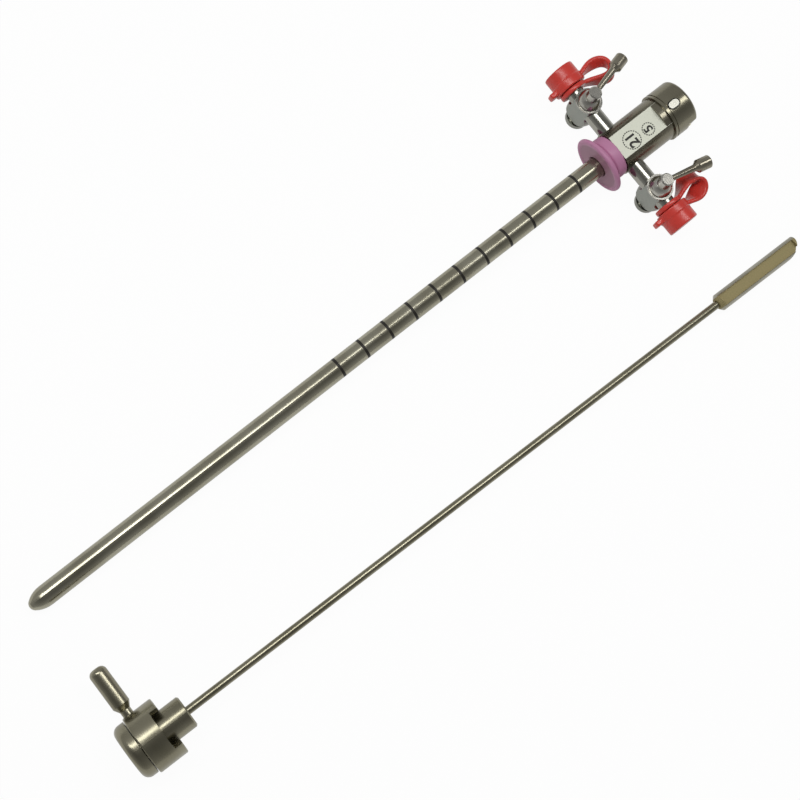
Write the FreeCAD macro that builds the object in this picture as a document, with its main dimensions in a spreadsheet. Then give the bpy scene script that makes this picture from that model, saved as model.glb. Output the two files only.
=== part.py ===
import FreeCAD
import Part
import Sketcher
import math
import os

# A 21 Fr cystoscope sheath with two stopcocks and silicone luer caps, and its obturator
# lying beside it. Millimetres and degrees. The sheath's axis is X, its tip points to -X,
# the ground flat of the hub faces +Z, and the origin is the centre of the socket's mouth.

SIZES = {
    # sheath tube
    "tube_diameter": 7.0,
    "tube_wall": 0.3,
    "tube_reach": 231.0,
    "tube_seat_depth": 10.0,
    "nose_length": 6.0,
    "nose_tip_radius": 2.2,
    "opening_length": 11.0,
    "opening_rise": 3.2,
    # mauve collar in front of the hub
    "guard_diameter": 20.6,
    "guard_rim": 1.8,
    "guard_neck_diameter": 13.8,
    "guard_neck_station": 2.8,
    "guard_back_diameter": 15.1,
    "guard_back_station": 3.2,
    "guard_length": 6.95,
    "guard_edge": 0.6,
    # hub
    "hub_diameter": 15.6,
    "hub_length": 20.7,
    "flat_height": 6.45,
    "flat_length": 18.3,
    "port_station": 3.6,
    "arm_seat_radius": 5.2,
    # rear coupling
    "coupling_length": 9.6,
    "coupling_wall": 1.65,
    "coupling_rim": 1.2,
    "spigot_diameter": 13.8,
    "socket_diameter": 11.0,
    "socket_depth": 11.5,
    "seal_diameter": 10.2,
    "seal_thickness": 0.8,
    "seal_clearance": 0.1,
    "band_width": 0.9,
    "band_groove": 0.4,
    "band_groove_depth": 0.25,
    "recess_length": 4.0,
    "recess_width": 6.2,
    "recess_depth": 0.85,
    "guide_key_station": 6.0,
    "guide_key_length": 3.9,
    "guide_key_width": 2.4,
    "guide_key_depth": 1.3,
    "guide_key_proud": 0.12,
    "guide_key_clearance": 0.2,
    # ports and stopcocks
    "port_bore": 2.5,
    "arm_diameter": 6.3,
    "stopcock_offset": 18.5,
    "stopcock_lean": 7.0,
    "barrel_diameter": 9.2,
    "barrel_top": 3.4,
    "barrel_bottom": 8.2,
    "barrel_seat": 3.4,
    "ball_radius": 5.3,
    "ball_centre": 4.2,
    "ball_flat": 3.1,
    "taper_top_radius": 3.05,
    "taper_bottom_radius": 2.5,
    "key_clearance": 0.03,
    "key_gap": 0.1,
    "head_diameter": 9.1,
    "head_rim": 0.55,
    "dome_base_radius": 3.95,
    "dome_radius": 4.4,
    "dome_height": 3.0,
    "post_diameter": 4.5,
    "post_top": 11.0,
    "post_edge": 0.4,
    "stud_diameter": 3.0,
    "lever_height": 9.1,
    "lever_splay_left": 14.5,
    "lever_splay_right": 11.5,
    "lever_rod_diameter": 1.9,
    "lever_neck_diameter": 2.4,
    "lever_root": 0.6,
    "lever_length": 17.4,
    "knob_diameter": 4.5,
    "knob_length": 5.0,
    "knob_shoulder": 0.9,
    "knob_edge": 0.4,
    "washer_gap": 0.05,
    "washer_thickness": 0.5,
    "washer_diameter": 6.2,
    "nut_diameter": 7.8,
    "nut_thickness": 2.4,
    "nut_edge": 0.8,
    "nut_slot_width": 1.0,
    "nut_slot_depth": 0.8,
    # luer ports, caps and straps
    "luer_length": 13.2,
    "luer_neck_diameter": 6.1,
    "luer_mouth_radius": 2.15,
    "luer_taper_depth": 7.5,
    "luer_taper": 0.03,
    "lug_diameter": 7.8,
    "lug_length": 0.8,
    "strap_ring_start": 5.5,
    "strap_ring_length": 1.6,
    "strap_ring_diameter": 10.0,
    "cap_start": 7.4,
    "cap_length": 7.4,
    "cap_diameter": 11.7,
    "cap_edge": 0.6,
    "cap_clearance": 0.1,
    "tab_station": 1.6,
    "tab_diameter": 1.9,
    "tab_length": 2.8,
    "strap_thickness": 1.6,
    "strap_width": 4.6,
    "strap_drop": 0.4,
    "strap_bend_station": 13.6,
    "strap_bend_radius": 2.5,
    # obturator
    "obturator_gap": 54.4,
    "obturator_yaw": 1.55,
    "obturator_station": 259.4,
    "obturator_reach": 263.4,
    "rod_diameter": 2.7,
    "rod_hold": 8.0,
    "plug_diameter": 10.9,
    "plug_length": 9.6,
    "plug_edge": 0.5,
    "flange_diameter": 11.8,
    "flange_thickness": 0.8,
    "journal_diameter": 9.0,
    "running_clearance": 0.05,
    "ring_diameter": 19.8,
    "ring_length": 7.4,
    "ring_edge": 0.5,
    "skirt_length": 2.8,
    "skirt_inner_diameter": 17.5,
    "skirt_window": 13.0,
    "cap_gap": 0.3,
    "rear_cap_diameter": 18.4,
    "rear_cap_length": 4.4,
    "rear_cap_edge": 2.6,
    "rear_spigot_diameter": 6.0,
    "rear_spigot_length": 3.2,
    "stop_pin_diameter": 1.2,
    "stop_pin_radius": 6.6,
    "stop_pin_engagement": 1.4,
    "stop_pin_hold": 1.5,
    "lock_turn": 40.0,
    "grip_station": 5.0,
    "grip_root": 6.6,
    "grip_neck_diameter": 3.5,
    "grip_neck_end": 11.6,
    "grip_flare": 1.9,
    "grip_diameter": 5.8,
    "grip_end": 26.9,
    "grip_round": 1.9,
    "tip_diameter": 6.2,
    "tip_length": 36.0,
    "tip_bevel": 1.0,
    "tip_hold": 5.0,
    "beak_length": 5.8,
    "beak_rise": 5.2,
    "beak_radius": 6.0,
    "trough_width": 3.9,
    "trough_depth": 1.2,
    "trough_start": 1.5,
    "trough_end": 1.2,
}

document = FreeCAD.newDocument("cystoscope_sheath")
sheet = document.addObject("Spreadsheet::Sheet", "sizes")
nodes = []


class Size:
    """A length or angle: its value now, and the sheet expression that gives it."""

    def __init__(self, text, value):
        self.text = text
        self.value = value

    def __add__(self, other):
        other = as_size(other)
        return Size("(%s + %s)" % (self.text, other.text), self.value + other.value)

    def __sub__(self, other):
        other = as_size(other)
        return Size("(%s - %s)" % (self.text, other.text), self.value - other.value)

    def __mul__(self, other):
        other = as_size(other)
        return Size("(%s * %s)" % (self.text, other.text), self.value * other.value)

    def __truediv__(self, other):
        other = as_size(other)
        return Size("(%s / %s)" % (self.text, other.text), self.value / other.value)

    def __neg__(self):
        return Size("(0 - %s)" % self.text, -self.value)

    def __radd__(self, other):
        return as_size(other) + self

    def __rsub__(self, other):
        return as_size(other) - self

    def __rmul__(self, other):
        return as_size(other) * self


def as_size(number):
    if isinstance(number, Size):
        return number
    return Size("(%s)" % repr(number), number)


def root(area):
    return Size("sqrt(%s)" % area.text, math.sqrt(area.value))


def sine(angle):
    return Size("sin(%s)" % angle.text, math.sin(math.radians(angle.value)))


def cosine(angle):
    return Size("cos(%s)" % angle.text, math.cos(math.radians(angle.value)))


def angle_of(slope):
    """The angle in degrees whose tangent is slope."""
    text = "(atan(%s) / 1 deg)" % slope.text
    return Size(text, math.degrees(math.atan(slope.value)))


def size(alias):
    return Size("sizes." + alias, SIZES[alias])


def half(alias):
    return size(alias) / 2


def fill_sheet():
    for row, alias in enumerate(SIZES, start=1):
        sheet.set("A%d" % row, alias)
        sheet.set("B%d" % row, str(SIZES[alias]))
        sheet.setAlias("B%d" % row, alias)
    document.recompute()


def bind(thing, name, amount):
    thing.setExpression(name, as_size(amount).text)


def place(thing, x, y, z, *turns):
    """Put a piece at x, y, z after its turns, each an axis and an angle, outermost first."""
    axes = {"X": "vector(1; 0; 0)", "Y": "vector(0; 1; 0)", "Z": "vector(0; 0; 1)"}
    turned_by = [("rotation(%s; %s)" % (axes[axis], as_size(angle).text)) for axis, angle in turns]
    if not turned_by:
        turned_by = ["rotation(vector(0; 0; 1); 0)"]
    where = "; ".join(as_size(part).text for part in (x, y, z))
    thing.setExpression("Placement", "placement(vector(%s); %s)" % (where, " * ".join(turned_by)))


def origin_plane(body, role):
    return [feature for feature in body.Origin.OriginFeatures if feature.Role == role][0]


def sketch_on(body, role):
    sketch = body.newObject("Sketcher::SketchObject", body.Name + "_sketch")
    sketch.AttachmentSupport = [(origin_plane(body, role), "")]
    sketch.MapMode = "FlatFace"
    return sketch


def arc_between(first, second, radius, bend):
    """The shorter arc from first to second. Its centre is on the left when bend is 1."""
    chord = second - first
    reach = math.sqrt(max(radius ** 2 - (chord.Length / 2) ** 2, 0.0))
    left = FreeCAD.Vector(-chord.y, chord.x, 0).normalize()
    centre = first + chord * 0.5 + left * (reach * bend)
    start, end = (first, second) if bend > 0 else (second, first)
    angles = [math.atan2(point.y - centre.y, point.x - centre.x) for point in (start, end)]
    circle = Part.Circle(centre, FreeCAD.Vector(0, 0, 1), radius)
    return Part.ArcOfCircle(circle, angles[0], angles[1])


def fix_coordinate(sketch, edge, point, axis_name, axis_index, amount):
    """Tie one coordinate of an edge's point to the sheet, or to the axis where it is 0."""
    if not isinstance(amount, Size):
        sketch.addConstraint(Sketcher.Constraint("PointOnObject", edge, point, axis_index))
        return
    rule = Sketcher.Constraint(axis_name, -1, 1, edge, point, amount.value)
    index = sketch.addConstraint(rule)
    sketch.setExpression("Constraints[%d]" % index, amount.text)


def draw_outline(sketch, points):
    """Close an outline. A point is (x, y), or (x, y, radius, bend) at the end of an arc."""
    corners = [FreeCAD.Vector(as_size(p[0]).value, as_size(p[1]).value, 0) for p in points]
    edges = []
    for index, corner in enumerate(corners):
        following = (index + 1) % len(points)
        target = points[following]
        if len(target) == 2:
            line = Part.LineSegment(corner, corners[following])
            edges.append((sketch.addGeometry(line), 1, 2))
            continue
        radius, bend = target[2], target[3]
        arc = arc_between(corner, corners[following], radius.value, bend)
        edge = sketch.addGeometry(arc)
        edges.append((edge, 1, 2) if bend > 0 else (edge, 2, 1))
        rule = sketch.addConstraint(Sketcher.Constraint("Radius", edge, radius.value))
        sketch.setExpression("Constraints[%d]" % rule, radius.text)
    for index, (edge, start, end) in enumerate(edges):
        next_edge, next_start, _ = edges[(index + 1) % len(edges)]
        sketch.addConstraint(Sketcher.Constraint("Coincident", edge, end, next_edge, next_start))
        fix_coordinate(sketch, edge, start, "DistanceX", -2, points[index][0])
        fix_coordinate(sketch, edge, start, "DistanceY", -1, points[index][1])


def turned(label, points, axis="H_Axis"):
    """A turned piece: an outline in the XZ plane, revolved about X (H_Axis) or Z (V_Axis)."""
    body = document.addObject("PartDesign::Body", label)
    sketch = sketch_on(body, "XZ_Plane")
    draw_outline(sketch, points)
    revolution = body.newObject("PartDesign::Revolution", label + "_turn")
    revolution.Profile = sketch
    revolution.ReferenceAxis = (sketch, [axis])
    revolution.Angle = 360
    body.Tip = revolution
    document.recompute()
    return body


def milled(body, role, points):
    """Cut an outline, drawn on one of the body's planes, right through it both ways."""
    sketch = sketch_on(body, role)
    draw_outline(sketch, points)
    pocket = body.newObject("PartDesign::Pocket", body.Name + "_mill")
    pocket.Profile = sketch
    pocket.Type = "ThroughAll"
    pocket.SideType = "Symmetric"
    before = body.Shape.Volume
    body.Tip = pocket
    document.recompute()
    if body.Shape.Volume >= before:
        raise RuntimeError("the cut misses " + body.Label)


def padded(label, role, points, length):
    """A plate: an outline on one of the body's planes, as thick as length about it."""
    body = document.addObject("PartDesign::Body", label)
    sketch = sketch_on(body, role)
    draw_outline(sketch, points)
    pad = body.newObject("PartDesign::Pad", label + "_pad")
    pad.Profile = sketch
    pad.SideType = "Symmetric"
    bind(pad, "Length", length)
    body.Tip = pad
    document.recompute()
    return body


def cylinder(radius, length):
    tool = document.addObject("Part::Cylinder", "cylinder")
    bind(tool, "Radius", radius)
    bind(tool, "Height", length)
    return tool


def block(length, width, height):
    tool = document.addObject("Part::Box", "block")
    bind(tool, "Length", length)
    bind(tool, "Width", width)
    bind(tool, "Height", height)
    return tool


def combined(kind, label, base, tools):
    result = base
    for tool in tools:
        step = document.addObject(kind, label)
        step.Base = result
        step.Tool = tool
        result = step
    document.recompute()
    return result


def cut(label, base, tools):
    return combined("Part::Cut", label, base, tools)


def fused(label, base, tools):
    return combined("Part::Fuse", label, base, tools)


def keep(label, piece):
    """Name a finished sub-part, which is written to its own file."""
    for other in document.Objects:
        if other is not piece and other.Label == label:
            other.Label = label + "_stage"
    piece.Label = label
    nodes.append(piece)
    return piece


fill_sheet()

# stations along the sheath's axis, and other sizes that more than one piece uses
MOUTH = 0
TUBE_RADIUS = half("tube_diameter")
LUMEN_RADIUS = TUBE_RADIUS - size("tube_wall")
HUB_RADIUS = half("hub_diameter")
HUB_REAR = -size("coupling_length")
HUB_FRONT = HUB_REAR - size("hub_length")
PORT_X = HUB_FRONT + size("port_station")
GUARD_FRONT = HUB_FRONT - size("guard_length")
TUBE_TIP = GUARD_FRONT - size("tube_reach")
TUBE_REAR = HUB_FRONT + size("tube_seat_depth")
NOSE_X = TUBE_TIP + size("nose_length")
SOCKET_RADIUS = half("socket_diameter")
SOCKET_FLOOR = -size("socket_depth")
PORT_RADIUS = half("port_bore")
ARM_RADIUS = half("arm_diameter")
LEAN = size("stopcock_lean")
NUT_TOP = -(size("barrel_bottom") + size("washer_gap") + size("washer_thickness") + size("washer_gap"))
NUT_BOTTOM = NUT_TOP - size("nut_thickness")
SIDES = (("left", 1), ("right", -1))


def make_sheath_tube():
    """A thin tube with a blunt nose that is open below, and cross holes at the ports."""
    # the nose is a small arc about the axis that runs on into a large one, so both share a joint
    length = size("nose_length")
    tip = size("nose_tip_radius")
    wall = size("tube_wall")
    side = (length * length - length * tip * 2 + TUBE_RADIUS * TUBE_RADIUS) / ((TUBE_RADIUS - tip) * 2)
    across = (side - TUBE_RADIUS) / (side - tip)
    along = (length - tip) / (side - tip)
    inner_tip = tip - wall
    body = turned("sheath_tube", [
        (TUBE_TIP, 0, tip, 1),
        (TUBE_TIP + wall, 0),
        (TUBE_TIP + tip - along * inner_tip, across * inner_tip, inner_tip, -1),
        (NOSE_X, LUMEN_RADIUS, side - wall, -1),
        (TUBE_REAR, LUMEN_RADIUS),
        (TUBE_REAR, TUBE_RADIUS),
        (NOSE_X, TUBE_RADIUS),
        (TUBE_TIP + tip - along * tip, across * tip, side, 1),
    ])
    below = -size("tube_diameter")
    milled(body, "XZ_Plane", [
        (TUBE_TIP - size("tube_wall"), below),
        (TUBE_TIP + size("opening_length"), below),
        (TUBE_TIP + size("opening_length"), -TUBE_RADIUS),
        (TUBE_TIP - size("tube_wall"), size("opening_rise") - TUBE_RADIUS),
    ])
    cross_hole = cylinder(PORT_RADIUS, TUBE_RADIUS * 4)
    place(cross_hole, PORT_X, TUBE_RADIUS * 2, 0, ("X", 90))
    keep("sheath_tube", cut("sheath_tube", body, [cross_hole]))


def make_guard_collar():
    """A soft collar: a disc with a round rim, a groove, then a second, smaller collar."""
    edge = size("guard_edge")
    round_rim = half("guard_rim")
    rim = half("guard_diameter")
    neck = half("guard_neck_diameter")
    back = half("guard_back_diameter")
    rim_back = GUARD_FRONT + size("guard_rim")
    groove_end = GUARD_FRONT + size("guard_neck_station")
    back_start = GUARD_FRONT + size("guard_back_station")
    groove_length = size("guard_neck_station") - size("guard_rim")
    groove_depth = rim - round_rim - neck
    groove_chord = root(groove_length * groove_length + groove_depth * groove_depth)
    keep("guard_collar", turned("guard_collar", [
        (GUARD_FRONT, TUBE_RADIUS),
        (GUARD_FRONT, rim - round_rim),
        (GUARD_FRONT + round_rim, rim, round_rim, -1),
        (rim_back, rim - round_rim, round_rim, -1),
        (groove_end, neck, groove_chord * 0.75, 1),
        (back_start, back - edge),
        (back_start + edge, back, edge, -1),
        (HUB_FRONT - edge, back),
        (HUB_FRONT, back - edge, edge, -1),
        (HUB_FRONT, TUBE_RADIUS),
    ]))


def make_hub_body():
    """The turned hub: tube seat, lumen and socket inside, a flat on top, a spigot behind."""
    spigot = half("spigot_diameter")
    seal = half("seal_diameter")
    seal_face = SOCKET_FLOOR + size("seal_thickness")
    body = turned("hub_body", [
        (HUB_FRONT, TUBE_RADIUS),
        (HUB_FRONT, HUB_RADIUS),
        (HUB_REAR, HUB_RADIUS),
        (HUB_REAR, spigot),
        (MOUTH, spigot),
        (MOUTH, SOCKET_RADIUS),
        (seal_face, SOCKET_RADIUS),
        (seal_face, seal),
        (SOCKET_FLOOR, seal),
        (SOCKET_FLOOR, LUMEN_RADIUS),
        (TUBE_REAR, LUMEN_RADIUS),
        (TUBE_REAR, TUBE_RADIUS),
    ])
    flat_end = HUB_FRONT + size("flat_length")
    milled(body, "XZ_Plane", [
        (HUB_FRONT - size("guard_edge"), size("flat_height")),
        (flat_end, size("flat_height")),
        (flat_end, HUB_RADIUS * 2),
        (HUB_FRONT - size("guard_edge"), HUB_RADIUS * 2),
    ])
    cross_hole = cylinder(PORT_RADIUS, HUB_RADIUS * 4)
    place(cross_hole, PORT_X, HUB_RADIUS * 2, 0, ("X", 90))
    tools = [cross_hole]
    for side, sign in SIDES:
        arm_seat = cylinder(ARM_RADIUS, HUB_RADIUS)
        place(arm_seat, PORT_X, size("arm_seat_radius") * sign, 0, ("X", -90 * sign))
        tools.append(arm_seat)
    keep("hub_body", cut("hub_body", body, tools))


def oval(length, width, height, x, z):
    """An upright oval bar with round ends, lengthwise along X."""
    straight = length - width
    middle = block(straight, width, height)
    place(middle, x - straight / 2, -(width / 2), z)
    ends = []
    for sign in (-1, 1):
        end = cylinder(width / 2, height)
        place(end, x + straight / 2 * sign, 0, z)
        ends.append(end)
    return fused("oval", middle, ends)


def make_coupling():
    """The ring of the rear socket, with its oval guide key, claw recess and face seal."""
    spigot = half("spigot_diameter")
    radius = spigot + size("coupling_wall")
    rim = size("coupling_rim")
    groove_start = HUB_REAR + size("band_width")
    groove_end = groove_start + size("band_groove")
    groove_radius = radius - size("band_groove_depth")
    body = turned("coupling_collar", [
        (HUB_REAR, spigot),
        (HUB_REAR, radius),
        (groove_start, radius),
        (groove_start, groove_radius),
        (groove_end, groove_radius),
        (groove_end, radius),
        (-rim, radius),
        (MOUTH, radius - rim, rim, -1),
        (MOUTH, spigot),
    ])
    recess = block(size("recess_length") * 2, radius, size("recess_width"))
    place(recess, -size("recess_length"), size("recess_depth") - radius * 2, -half("recess_width"))
    key_x = -size("guide_key_station")
    key_floor = radius - size("guide_key_depth")
    loose = size("guide_key_clearance") * 2
    pocket = oval(size("guide_key_length") + loose, size("guide_key_width") + loose, radius, key_x, key_floor)
    keep("coupling_collar", cut("coupling_collar", body, [recess, pocket]))

    key_height = size("guide_key_depth") + size("guide_key_proud")
    key = oval(size("guide_key_length"), size("guide_key_width"), key_height, key_x, key_floor)
    keep("guide_key", key)

    seal_end = SOCKET_FLOOR + size("seal_thickness")
    seal_outer = half("seal_diameter") - size("seal_clearance")
    seal_inner = LUMEN_RADIUS + size("seal_clearance")
    keep("seal_ring", turned("seal_ring", [
        (SOCKET_FLOOR, seal_inner),
        (SOCKET_FLOOR, seal_outer),
        (seal_end, seal_outer),
        (seal_end, seal_inner),
    ]))


def place_on_port(piece, sign):
    """Turn a piece made along +Z to point outward along its port, from the key's axis."""
    place(piece, PORT_X, size("stopcock_offset") * sign, 0, ("X", -90 * sign))


def place_on_key(piece, sign, *turns):
    """Put a piece made about Z on the leaning axis of a stopcock's key."""
    place(piece, PORT_X, size("stopcock_offset") * sign, 0, ("Y", LEAN), *turns)


def make_port_arm(side, sign):
    """A plain pipe from the hub's seat to the seat in the stopcock barrel."""
    start = size("arm_seat_radius") - size("stopcock_offset")
    end = -size("barrel_seat")
    arm = turned("port_arm_" + side, [
        (PORT_RADIUS, start),
        (PORT_RADIUS, end),
        (ARM_RADIUS, end),
        (ARM_RADIUS, start),
    ], "V_Axis")
    place_on_port(arm, sign)
    keep("port_arm_" + side, arm)


def make_barrel(side, sign):
    """A barrel that swells into a ball, with a tapered bore and a flat ground on its front."""
    radius = half("barrel_diameter")
    ball = size("ball_radius")
    centre = -size("ball_centre")
    bottom = -size("barrel_bottom")
    depth = size("ball_centre") - size("barrel_bottom")
    ball_meets_barrel = centre + root(ball * ball - radius * radius)
    ball_bottom_radius = root(ball * ball - depth * depth)
    body = turned("stopcock_barrel_" + side, [
        (size("taper_top_radius"), size("barrel_top")),
        (size("taper_bottom_radius"), bottom),
        (ball_bottom_radius, bottom),
        (ball, centre, ball, 1),
        (radius, ball_meets_barrel, ball, 1),
        (radius, size("barrel_top")),
    ], "V_Axis")
    front = block(ball, ball * 4, ball * 4)
    place(front, -(size("ball_flat") + ball), -(ball * 2), centre - ball * 2)
    bore = cylinder(PORT_RADIUS, ball * 4)
    place(bore, 0, ball * 2, 0, ("X", 90))
    tools = [front, bore]
    for direction in (-1, 1):
        seat = cylinder(ARM_RADIUS, ball * 2)
        place(seat, 0, size("barrel_seat") * direction, 0, ("X", -90 * direction))
        tools.append(seat)
    barrel = cut("stopcock_barrel_" + side, body, tools)
    place_on_key(barrel, sign)
    keep("stopcock_barrel_" + side, barrel)


def make_key(side, sign):
    """A tapered key with a rimmed dome, a post for the lever and a threaded stud below."""
    gap = size("key_clearance")
    seat = size("barrel_top") + size("key_gap")
    rim_top = seat + size("head_rim")
    dome_top = rim_top + size("dome_height")
    post = half("post_diameter")
    stud = half("stud_diameter")
    edge = size("post_edge")
    body = turned("stopcock_key_" + side, [
        (0, NUT_BOTTOM + size("nut_slot_depth")),
        (stud, NUT_BOTTOM + size("nut_slot_depth")),
        (stud, -size("barrel_bottom")),
        (size("taper_bottom_radius") - gap, -size("barrel_bottom")),
        (size("taper_top_radius") - gap, size("barrel_top")),
        (size("taper_top_radius") - gap, seat),
        (half("head_diameter"), seat),
        (half("head_diameter"), rim_top),
        (size("dome_base_radius"), rim_top),
        (post, dome_top, size("dome_radius"), 1),
        (post, size("post_top") - edge),
        (post - edge, size("post_top")),
        (0, size("post_top")),
    ], "V_Axis")
    splay = size("lever_splay_" + side) * sign
    flow_length = size("taper_top_radius") * 2.4
    flow = cylinder(PORT_RADIUS, flow_length)
    place(flow, -(cosine(splay) * flow_length / 2), -(sine(splay) * flow_length / 2), 0,
          ("Z", splay), ("Y", 90))
    lever_hole = cylinder(half("lever_rod_diameter"), size("post_diameter"))
    place(lever_hole, cosine(splay) * size("lever_root"), sine(splay) * size("lever_root"),
          size("lever_height"), ("Z", splay), ("Y", 90))
    key = cut("stopcock_key_" + side, body, [flow, lever_hole])
    place_on_key(key, sign)
    keep("stopcock_key_" + side, key)


def make_lever(side, sign):
    """A lever turned from one bar: a rod that thickens towards a round knob."""
    rod = half("lever_rod_diameter")
    neck = half("lever_neck_diameter")
    knob = half("knob_diameter")
    edge = size("knob_edge")
    end = size("lever_length")
    knob_start = end - size("knob_length")
    height = size("lever_height")
    lever = turned("key_lever_" + side, [
        (size("lever_root"), 0),
        (size("lever_root"), rod),
        (half("post_diameter"), rod),
        (knob_start - size("knob_shoulder"), neck),
        (knob_start, knob - edge),
        (knob_start + edge, knob),
        (end - edge, knob),
        (end, knob - edge, edge, -1),
        (end, 0),
    ])
    place(lever,
          PORT_X + sine(LEAN) * height, size("stopcock_offset") * sign, cosine(LEAN) * height,
          ("Y", LEAN), ("Z", size("lever_splay_" + side) * sign))
    keep("key_lever_" + side, lever)


def make_washer_and_nut(side, sign):
    """The spring washer and the slotted round nut that hold the key down."""
    stud = half("stud_diameter")
    washer_top = -(size("barrel_bottom") + size("washer_gap"))
    washer_bottom = washer_top - size("washer_thickness")
    washer = turned("spring_washer_" + side, [
        (stud, washer_bottom),
        (half("washer_diameter"), washer_bottom),
        (half("washer_diameter"), washer_top),
        (stud, washer_top),
    ], "V_Axis")
    place_on_key(washer, sign)
    keep("spring_washer_" + side, washer)

    radius = half("nut_diameter")
    edge = size("nut_edge")
    blank = turned("key_nut_" + side, [
        (stud, NUT_BOTTOM),
        (radius - edge, NUT_BOTTOM),
        (radius, NUT_BOTTOM + edge, edge, 1),
        (radius, NUT_TOP),
        (stud, NUT_TOP),
    ], "V_Axis")
    slot = block(size("nut_slot_width"), radius * 4, size("nut_slot_depth") * 2)
    place(slot, -half("nut_slot_width"), -(radius * 2), NUT_BOTTOM - size("nut_slot_depth"))
    nut = cut("key_nut_" + side, blank, [slot])
    place_on_key(nut, sign)
    keep("key_nut_" + side, nut)


def make_luer_port(side, sign):
    """A luer cone outside the barrel, with the two lugs' collar at its mouth."""
    neck = half("luer_neck_diameter")
    mouth = size("luer_mouth_radius")
    end = size("luer_length")
    cone_start = end - size("luer_taper_depth")
    cone_radius = mouth - size("luer_taper_depth") * size("luer_taper")
    lug_start = end - size("lug_length")
    port = turned("luer_port_" + side, [
        (PORT_RADIUS, size("barrel_seat")),
        (neck, size("barrel_seat")),
        (neck, lug_start),
        (half("lug_diameter"), lug_start),
        (half("lug_diameter"), end),
        (mouth, end),
        (cone_radius, cone_start),
        (PORT_RADIUS, cone_start),
    ], "V_Axis")
    place_on_port(port, sign)
    keep("luer_port_" + side, port)


def make_cap(side, sign):
    """The silicone cap over the luer port, with the pull tab on its front."""
    radius = half("cap_diameter")
    edge = size("cap_edge")
    start = size("cap_start")
    end = start + size("cap_length")
    cavity = half("lug_diameter") + size("cap_clearance")
    cavity_end = size("luer_length") + size("cap_clearance")
    shell = turned("luer_cap_" + side, [
        (cavity, start),
        (radius - edge, start),
        (radius, start + edge, edge, 1),
        (radius, end - edge),
        (radius - edge, end, edge, 1),
        (0, end),
        (0, cavity_end),
        (cavity, cavity_end),
    ], "V_Axis")
    tab_z = start + size("tab_station")
    tab_radius = half("tab_diameter")
    tab = cylinder(tab_radius, radius + size("tab_length") - tab_radius - cavity - edge)
    place(tab, -(cavity + edge), 0, tab_z, ("Y", -90))
    tab_end = document.addObject("Part::Sphere", "sphere")
    bind(tab_end, "Radius", tab_radius)
    place(tab_end, -(radius + size("tab_length") - tab_radius), 0, tab_z)
    cap = fused("luer_cap_" + side, shell, [tab, tab_end])
    place_on_port(cap, sign)
    keep("luer_cap_" + side, cap)


def make_strap(side, sign):
    """The ring on the luer neck and the flat strap that loops back to the cap."""
    start = size("strap_ring_start")
    end = start + size("strap_ring_length")
    ring = turned("strap_ring_" + side, [
        (half("luer_neck_diameter"), start),
        (half("strap_ring_diameter"), start),
        (half("strap_ring_diameter"), end),
        (half("luer_neck_diameter"), end),
    ], "V_Axis")
    place_on_port(ring, sign)
    keep("strap_ring_" + side, ring)

    thickness = size("strap_thickness")
    outer = size("strap_bend_radius") + thickness / 2
    inner = size("strap_bend_radius") - thickness / 2
    bend_x = size("strap_bend_station")
    middle = start + size("strap_ring_length") / 2 + size("strap_bend_radius")
    ring_x = half("strap_ring_diameter")
    cap_x = half("cap_diameter")
    strap = padded("cap_strap_" + side, "XZ_Plane", [
        (ring_x, middle - outer),
        (bend_x, middle - outer),
        (bend_x + outer, middle, outer, 1),
        (bend_x, middle + outer, outer, 1),
        (cap_x, middle + outer),
        (cap_x, middle + inner),
        (bend_x, middle + inner),
        (bend_x + inner, middle, inner, -1),
        (bend_x, middle - inner, inner, -1),
        (ring_x, middle - inner),
    ], size("strap_width"))
    place(strap, PORT_X, size("stopcock_offset") * sign, -size("strap_drop"), ("X", -90 * sign))
    keep("cap_strap_" + side, strap)


# The obturator is made along X with the front face of its lock ring at 0, and then laid
# on the plane that the sheath rests on, which touches its nuts and the tube by the tip.
RING_FACE = 0
NUT_EDGE_RADIUS = half("nut_diameter") - size("nut_edge")
NUT_EDGE_HEIGHT = NUT_BOTTOM + size("nut_edge")
FLOOR_X = PORT_X + cosine(LEAN) * NUT_EDGE_RADIUS + sine(LEAN) * NUT_EDGE_HEIGHT
FLOOR_Z = cosine(LEAN) * NUT_EDGE_HEIGHT - sine(LEAN) * NUT_EDGE_RADIUS - size("nut_edge")
TIP_REST_X = TUBE_TIP + size("opening_length")
FLOOR_SLOPE = (-TUBE_RADIUS - FLOOR_Z) / (FLOOR_X - TIP_REST_X)
RING_RADIUS = half("ring_diameter")
RING_REST_X = -half("ring_length")
TIP_RADIUS = half("tip_diameter")
TIP_REST = size("obturator_reach") - size("beak_length")
OBTURATOR_SLOPE = FLOOR_SLOPE + (RING_RADIUS - TIP_RADIUS) / (TIP_REST - RING_REST_X)
OBTURATOR_DROP = angle_of(OBTURATOR_SLOPE)
OBTURATOR_X = -size("obturator_station")
OBTURATOR_Z = (FLOOR_Z + (FLOOR_X - OBTURATOR_X) * FLOOR_SLOPE
               + RING_RADIUS + RING_REST_X * (OBTURATOR_SLOPE - FLOOR_SLOPE))


OBTURATOR_YAW = -size("obturator_yaw")


def lay_down(piece, *turns):
    """Lay a piece of the obturator down, made about its axis."""
    lay_down_at(piece, 0, 0, *turns)


def lay_down_at(piece, along, above, *turns):
    """Lay a piece down whose own origin is along the obturator's axis and above it."""
    level = cosine(OBTURATOR_DROP) * along + sine(OBTURATOR_DROP) * above
    place(piece,
          OBTURATOR_X + cosine(OBTURATOR_YAW) * level,
          sine(OBTURATOR_YAW) * level - size("obturator_gap"),
          OBTURATOR_Z - sine(OBTURATOR_DROP) * along + cosine(OBTURATOR_DROP) * above,
          ("Z", OBTURATOR_YAW), ("Y", OBTURATOR_DROP), *turns)


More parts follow.
